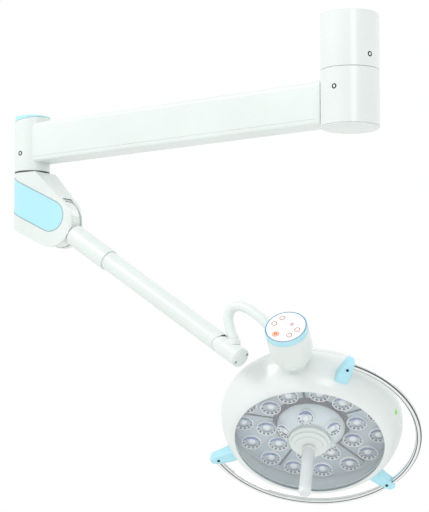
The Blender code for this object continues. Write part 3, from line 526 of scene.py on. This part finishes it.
printed_ring("panel_outline", 45.9, 1.7, 0, 0, INK_BLUE, PANEL_Z - 0.02)
KEY_CAP = [(0, 1.0), (4.5, 0.98), (6.6, 0.85), (7.8, 0.5), (8.2, -0.1), (8.2, -4.6), (9.3, -4.7),
           (9.3, -6.1), (3, -6.2), (3, -11.2), (0, -11.2)]
KEY_MARK = [(6.4, 0.80), (6.4, 1.04), (5.0, 1.10), (5.0, 0.90)]
KEY_ANGLES = {"power": -100, "brighter": -167, "dimmer": 147, "endo": -33, "colour": 13}
for name, angle in KEY_ANGLES.items():
    key_at = POD @ at(KEY_CIRCLE * cos(radians(angle)), KEY_CIRCLE * sin(radians(angle)), PANEL_Z)
    is_power = name == "power"
    lathe("cap_" + name, KEY_CAP, key_at, ORANGE if is_power else FOIL, "key_" + name,
          ["button_" + name], 48)
    lathe("mark_" + name, KEY_MARK, key_at, FOIL if is_power else INK_RED, "key_" + name,
          steps=40)
ICON_X, ICON_Y = 6.5, 13.4
printed_ring("panel_icon_ring", 4.2, 1.1, ICON_X, ICON_Y, INK_RED)
lathe("panel_icon_dot", [(0, PRINT_Z), (1.6, PRINT_Z), (1.6, PRINT_Z + PRINT_HEIGHT),
                         (0, PRINT_Z + PRINT_HEIGHT)],
      POD @ at(ICON_X, ICON_Y, 0), INK_RED, "control_pod", steps=24)

# ---------------------------------------------------------------- lamp head housing

outer = [(205.0, -44.8), (207.6, -38.0), (209.6, -30.0), (210.0, -22.0), (209.2, -10.0), (206.6, 2.0),
         (203.0, 14.0), (198.6, 25.0), (193.2, 35.0), (187.0, 44.0), (181.0, 49.6), (175.6, 52.4),
         (173.0, 52.9)]
inner = [(171.6, 52.2), (171.4, 50.2), (174.0, 48.6), (185.0, 40.0), (196.5, 22.0), (203.5, 0.0),
         (206.5, -25.0), (202.0, -44.8)]
lathe("head_front", rounded_profile(outer) + inner, HEAD, WHITE, "lamp_head", ["front_housing"],
      192)
back = [(204.6, -45.6), (203.6, -49.5), (200.8, -56.0), (195.6, -63.0), (187.0, -69.6), (174.0, -75.0),
        (150.0, -79.6), (110.0, -82.8), (60.0, -84.5), (20.0, -85.0)]
lining = [(0, -85.0), (0, -82.0), (60, -81.6), (139, -77.6), (177, -70.8), (192, -60.5), (200.6, -47.6)]
lathe("head_back", [(202.0, -45.6)] + rounded_profile(back) + lining, HEAD, WHITE, "lamp_head",
      ["back_cover"], 192)
lathe("seam_gasket", [(203.4, -46.2), (203.4, -44.2), (200, -44.2), (200, -46.2)], HEAD, DARK,
      "lamp_head", steps=128)
lathe("front_plate", [(50.6, 42.6), (176, 42.6), (176, 45.2), (50.6, 45.2)], HEAD, CLEAR, "lamp_head",
      ["clear_cover"], 128, 0.4)
lathe("inner_skirt", [(172.6, 41.5), (186, 38), (195, 20), (199, 0), (199, -20), (186, -24), (186, -23),
                      (197.6, -19), (197.8, 0), (193.6, 19.6), (185, 36.6), (172, 40.4)],
      HEAD, SKIRT, "lamp_head", steps=128)
lathe("board_disc", [(22, -26), (180, -26), (180, -24.4), (22, -24.4)], HEAD, BOARD_PAINTED_SHADE_AND_REFLECTION, "lamp_head",
      ["led_board"], 96)

# ---------------------------------------------------------------- lenses

LENS_PLACES = [(158.0, -25.0), (158.0, 0.0), (158.0, 25.0), (106.0, -16.0), (106.0, 16.0)]
# the blue band and the dark ticks in each lens are painted reflection
LENS_PARTS = {"rims": LENS_EDGE, "cups": LENS, "cores": LENS_CLEAR, "shades": LENS_PAINTED_REFLECTION, "ticks": BOARD_PAINTED_SHADE_AND_REFLECTION}


def sector_outline(inner_r, outer_r, gap, steps=24):
    """A fifth of a ring, set back by half a gap along both of its straight sides."""
    def run(radius):
        reach = radians(36) - asin(gap / 2 / radius)
        return [(radius * cos(reach * (2 * i / steps - 1)), radius * sin(reach * (2 * i / steps - 1)))
                for i in range(steps + 1)]
    return run(outer_r) + run(inner_r)[::-1]


def band_mesh(mesh, matrix, inner_r, outer_r, z_in, z_out, start, end, taper, steps=16):
    """A thin curved patch between two radii; taper pinches its ends towards a point."""
    lows, highs = [], []
    for i in range(steps + 1):
        t = i / steps
        a = radians(start + (end - start) * t)
        pinch = 1 - taper * (2 * t - 1) ** 2
        reach = inner_r + (outer_r - inner_r) * (1 - pinch)
        height = z_in + (z_out - z_in) * (1 - pinch)
        lows.append(mesh.verts.new(matrix @ (Vector((reach * cos(a), reach * sin(a), height)) * MM)))
        highs.append(mesh.verts.new(matrix @ (Vector((outer_r * cos(a), outer_r * sin(a), z_out)) * MM)))
    for i in range(steps):
        mesh.faces.new((lows[i], lows[i + 1], highs[i + 1], highs[i]))


def lens_stack(parts, matrix, size, depth):
    """One optic: a rim, a cup, a core, and a painted reflection laid in the cup: a blue band and dark
    ticks.
    """
    q = size / LENS_R
    spin_mesh([(24.2 * q, -depth), (24.2 * q, -3.6), (23.4 * q, LENS_TOP), (22.0 * q, LENS_TOP),
               (21.2 * q, -3.6), (21.2 * q, -depth)], matrix, 48, parts["rims"])
    spin_mesh([(21.3 * q, -8), (21.3 * q, -3.8), (17.6 * q, -6.6), (12.0 * q, -8.0), (9.0 * q, -8.6)],
              matrix, 48, parts["cups"])
    spin_mesh([(0, -3.4), (4.0 * q, -3.8), (7.0 * q, -5.0), (9.2 * q, -6.8), (10.0 * q, -8.8),
               (0, -8.8)], matrix, 40, parts["cores"])
    band_mesh(parts["shades"], matrix, 8.0 * q, 20.4 * q, -6.9, -3.2, -74, 66, 0.85)
    band_mesh(parts["ticks"], matrix, 11.0 * q, 14.6 * q, -7.2, -5.6, 118, 232, 0.95)
    for start in (84, 112, 142, 172, 203, 233, 260):
        band_mesh(parts["ticks"], matrix, 17.0 * q, 21.0 * q, -5.9, -3.3, start, start + 18, 0.5, 6)


def lens_group(stem, number, places, size, depth):
    """Build the optics at some frames and join them into one piece for each part."""
    parts = {key: bmesh.new() for key in LENS_PARTS}
    for place in places:
        lens_stack(parts, place, size, depth)
    for key, mat in LENS_PARTS.items():
        piece(parts[key], "%s_%s_%d" % (stem, key, number), mat, "lamp_head")


for k in range(5):
    sector_angle = 72 * k + 36
    spin = HEAD @ turned(sector_angle, "Z")
    piece(prism_mesh(sector_outline(89, 180.8, 6.0), -10, -6.4, spin), "module_%d" % (k + 1), LENS_RIM,
          "lamp_head", ["lens_module_%d" % (k + 1)], 1.2)
    places = [spin @ turned(angle, "Z") @ at(radius, 0, 0) @ turned(-sector_angle - angle, "Z")
              for radius, angle in LENS_PLACES]
    lens_group("lens", k + 1, places, LENS_R, 9)
# a dark ring under the lens modules, seen through the gaps between them: painted shade
lathe("sector_painted_shade", [(84, -20), (183, -20), (183, -18), (84, -18)], HEAD, BOARD_PAINTED_SHADE_AND_REFLECTION, "lamp_head",
      steps=96)

# middle module: a domed ring with five lenses on its slope
lathe("middle_module", [(79, -10), (79, -2), (76, 6), (70, 14), (63, 21), (56, 27.5), (52, 32), (50, 36),
                        (49, 36.8), (20, 37), (20, -10)],
      HEAD, SKIRT, "lamp_head", ["centre_module"], 128)
lathe("middle_shadow_ring", [(79.4, -9.5), (89, -9.5), (89, -8.4), (80.2, -7.6), (79.4, 2.5)], HEAD,
      BOARD_PAINTED_SHADE_AND_REFLECTION, "lamp_head", steps=128)
lens_group("middle", 1, [HEAD @ turned(72 * k, "Z") @ at(63.0, 0, 32.0) @ turned(MIDDLE_TILT, "Y")
                         @ turned(-72 * k, "Z") for k in range(5)], MIDDLE_LENS_R, 16)

# ---------------------------------------------------------------- handle and neck collar

lathe("handle_flange", [(0, -33.7), (19.4, -33.7), (19.4, 37.4), (47, 37.4), (48, 38.4), (48, 48.6),
                        (46.8, 50), (43.4, 51.4), (42, 53.2), (42, 57.2), (40.6, 58.4), (35, 59.4),
                        (33, 61), (33, 64.8), (31.6, 66), (12, 67), (10, 68.5), (10, 118.5), (8.5, 120),
                        (0, 120)],
      HEAD, COAT, "lamp_head", ["handle_mount"], 96)
lathe("handle_sleeve", [(10.4, 69), (13.6, 69), (14.6, 70.2), (14.6, 74), (13.9, 75.2), (13.9, 80),
                        (14.3, 81), (14.3, 186), (14.5, 192), (14.0, 197.5), (12.0, 201.5), (8.5, 203.6),
                        (0, 204), (0, 200), (8, 199), (10.4, 195)],
      HEAD, HANDLE, "handle", ["sterile_handle"], 96)
folds = [(23.5 + 1.5 * (i % 2), 203 + 1.4 * i) for i in range(9)]
lathe("neck_bellows", [(12.3, 192), (20, 196), (22, 201)] + folds + [(12.3, 214.9)], HEAD @ ALONG_X,
      COAT, "lamp_head", ["neck_collar"], 64, sharp=80)

# ---------------------------------------------------------------- grip rail, brackets and indicator

RAIL_STEPS = 120
rail_angles = [radians(RAIL_START + (RAIL_END - RAIL_START) * i / RAIL_STEPS)
               for i in range(RAIL_STEPS + 1)]
rail_path = [(RAIL_R * cos(a), RAIL_R * sin(a), RAIL_Z) for a in rail_angles]
rail = piece(sweep_mesh(rail_path, RAIL_TUBE, HEAD, 40), "grip_rail", CHROME, "lamp_head", ["hand_rail"])
rail.data.materials.append(CHROME_PAINTED_REFLECTION)

# painted reflection: darker chrome streaks along the tube, as a polished rail mirrors a dark room, given as
# angles round its section
PAINTED_REFLECTION_STREAKS = ((0.5, 1.05), (-2.7, -2.0), (1.8, 2.1))
to_head = HEAD.inverted()
for face in rail.data.polygons:
    middle = to_head @ face.center / MM
    across = Vector((Vector((middle.x, middle.y)).length - RAIL_R, middle.z - RAIL_Z))
    turn = across.angle_signed(Vector((1, 0)), 0.0)
    if any(low < turn < high for low, high in PAINTED_REFLECTION_STREAKS):
        face.material_index = 1

half_bracket = [(192, -15), (208, -15.5), (232, -14), (250, -12), (258, -9.5), (262, -5)]
bracket_outline = half_bracket + [(x, -y) for x, y in half_bracket[::-1]]
for number, angle in enumerate(BRACKET_ANGLES, 1):
    spin = HEAD @ turned(angle, "Z")
    mesh = loft_mesh(bracket_outline, lambda x: 4 if x > 200 else 1,
                     lambda x: 30.5 - max(0, x - 230) * 0.1, spin)
    piece(mesh, "bracket_%d" % number, BLUE, "lamp_head", ["rail_bracket_%d" % number],
          4.5, segments=5)
    socket_screw("bracket_screw_%d" % number, spin @ at(240, 0, 29.4), 3.4, 1.2, "lamp_head")
lathe("status_light", [(0, 1.5), (4.2, 1.2), (6.2, 0.3), (6.6, -3), (0, -3)],
      HEAD @ wall_frame(-80, (0, 0, 3), 206.3), GREEN, "lamp_head", steps=32)

# ---------------------------------------------------------------- finishes on the carried-over CAD pieces

FINISH = {
    "ceiling_plate": STEEL, "ceiling_spindle": STEEL, "knuckle_spindle": STEEL, "pivot_axle": STEEL,
    "balance_spring": STEEL, "spring_rod": STEEL, "levelling_rod": STEEL, "end_axle": STEEL,
    "tilt_spindle": STEEL, "head_spindle": STEEL, "knuckle_body": COAT, "front_cover": COAT,
    "rear_cover": COAT, "knuckle_trim": BLUE, "arm_head": COAT, "end_fitting": ALUMINIUM,
    "tilt_block": ALUMINIUM, "heat_sink": ALUMINIUM, "turn_bearing": BRONZE,
}
for name, mat in FINISH.items():
    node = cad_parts[name]
    node.data.materials.clear()
    node.data.materials.append(mat)
EDGE_BEVELS = {"knuckle_body": 0.6, "front_cover": 1.2, "rear_cover": 1.2, "knuckle_trim": 0.8,
               "arm_head": 1.0}
for name, width in EDGE_BEVELS.items():
    add_bevel(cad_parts[name], width, 3, 40)

# ---------------------------------------------------------------- studio, in metres

FLOOR_Z, FLOOR_HALF = -2.0, 30
mesh = bmesh.new()
for x, y in ((-1, -1), (1, -1), (1, 1), (-1, 1)):
    mesh.verts.new((x * FLOOR_HALF, y * FLOOR_HALF, FLOOR_Z))
mesh.faces.new(list(mesh.verts))
data = bpy.data.meshes.new("floor")
mesh.to_mesh(data)
mesh.free()
data.materials.append(FLOOR)
floor = bpy.data.objects.new("floor", data)
bpy.context.collection.objects.link(floor)


def soft_light(name, place_at, target, size, power):
    lamp = bpy.data.lights.new(name, "AREA")
    lamp.shape = "DISK"
    lamp.size = size
    lamp.energy = power
    item = bpy.data.objects.new(name, lamp)
    item.location = place_at
    aim = Vector(target) - Vector(place_at)
    item.rotation_euler = aim.to_track_quat("-Z", "Y").to_euler()
    bpy.context.collection.objects.link(item)


soft_light("key", (-2.6, -3.2, 2.6), (-0.4, 0, -0.5), 1.8, 70)
soft_light("fill", (3.2, -2.8, 0.6), (-0.2, 0, -0.6), 1.6, 25)
soft_light("rim", (0.5, 3.6, 2.0), (-0.4, 0, -0.5), 2.0, 30)

world = bpy.data.worlds.new("studio")
world.use_nodes = True
world.node_tree.nodes["Background"].inputs["Color"].default_value = (1.0, 1.0, 1.0, 1.0)
world.node_tree.nodes["Background"].inputs["Strength"].default_value = 1.0
bpy.context.scene.world = world
bpy.context.scene.view_settings.view_transform = "Standard"

camera = bpy.data.cameras.new("camera")
camera.lens = 148.4
camera.sensor_width = 36.0
camera.clip_end = 100.0
viewer = bpy.data.objects.new("camera", camera)
viewer.location = (2.5665, -3.7657, -1.0459)
viewer.rotation_euler = (radians(96.43), 0.0, radians(38.01))
bpy.context.collection.objects.link(viewer)
bpy.context.scene.camera = viewer
